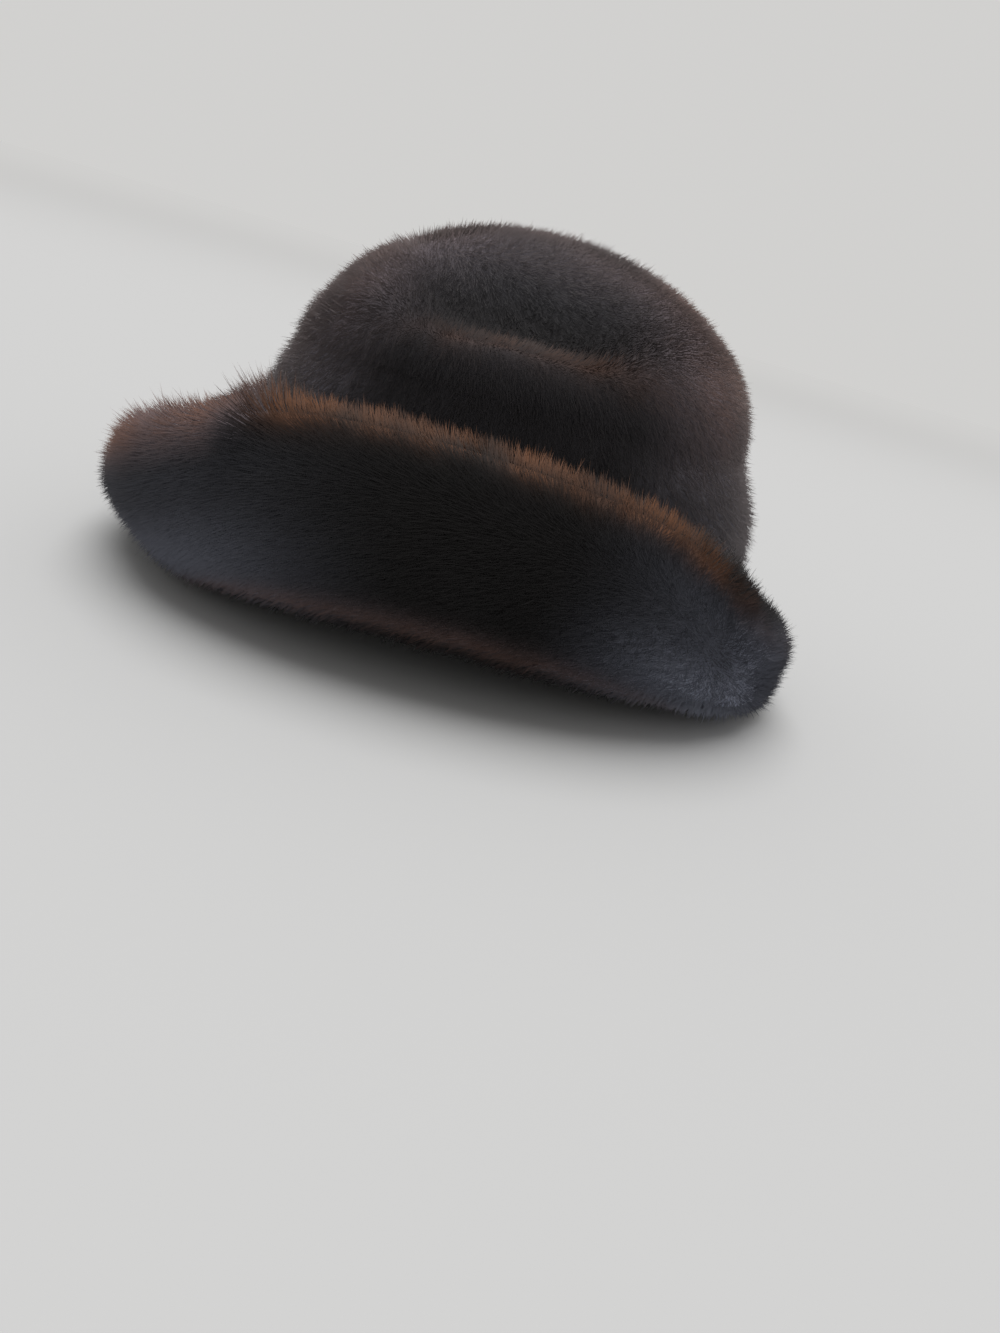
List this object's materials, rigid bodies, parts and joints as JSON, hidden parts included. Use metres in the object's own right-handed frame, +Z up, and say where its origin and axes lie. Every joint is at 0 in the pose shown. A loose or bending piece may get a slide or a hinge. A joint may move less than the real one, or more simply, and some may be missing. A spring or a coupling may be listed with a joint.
{
  "type": "fur fedora",
  "caption": "Hat of dark brown fur with a domed crown, long dents beside its top, and a wide padded brim rolled high at both sides.",
  "frame": {"origin": "under the middle of the brim, on the surface that the hat rests on", "axes": "+Z up, front of the hat towards -Y, the wearer's left towards +X"},
  "size_m": [0.2996, 0.3302, 0.1753],
  "materials": {
    "brim_fur": "dense short dark brown fur, reddish where its tips stand up",
    "crown_fur": "dense short dark brown fur lying down the side",
    "tip_fur": "dense short dark brown fur, blue-grey sheen in the dents"
  },
  "bodies": {
    "root": {"brim": "brim_fur", "crown_side": "crown_fur", "crown_tip": "tip_fur"}
  },
  "joints": []
}
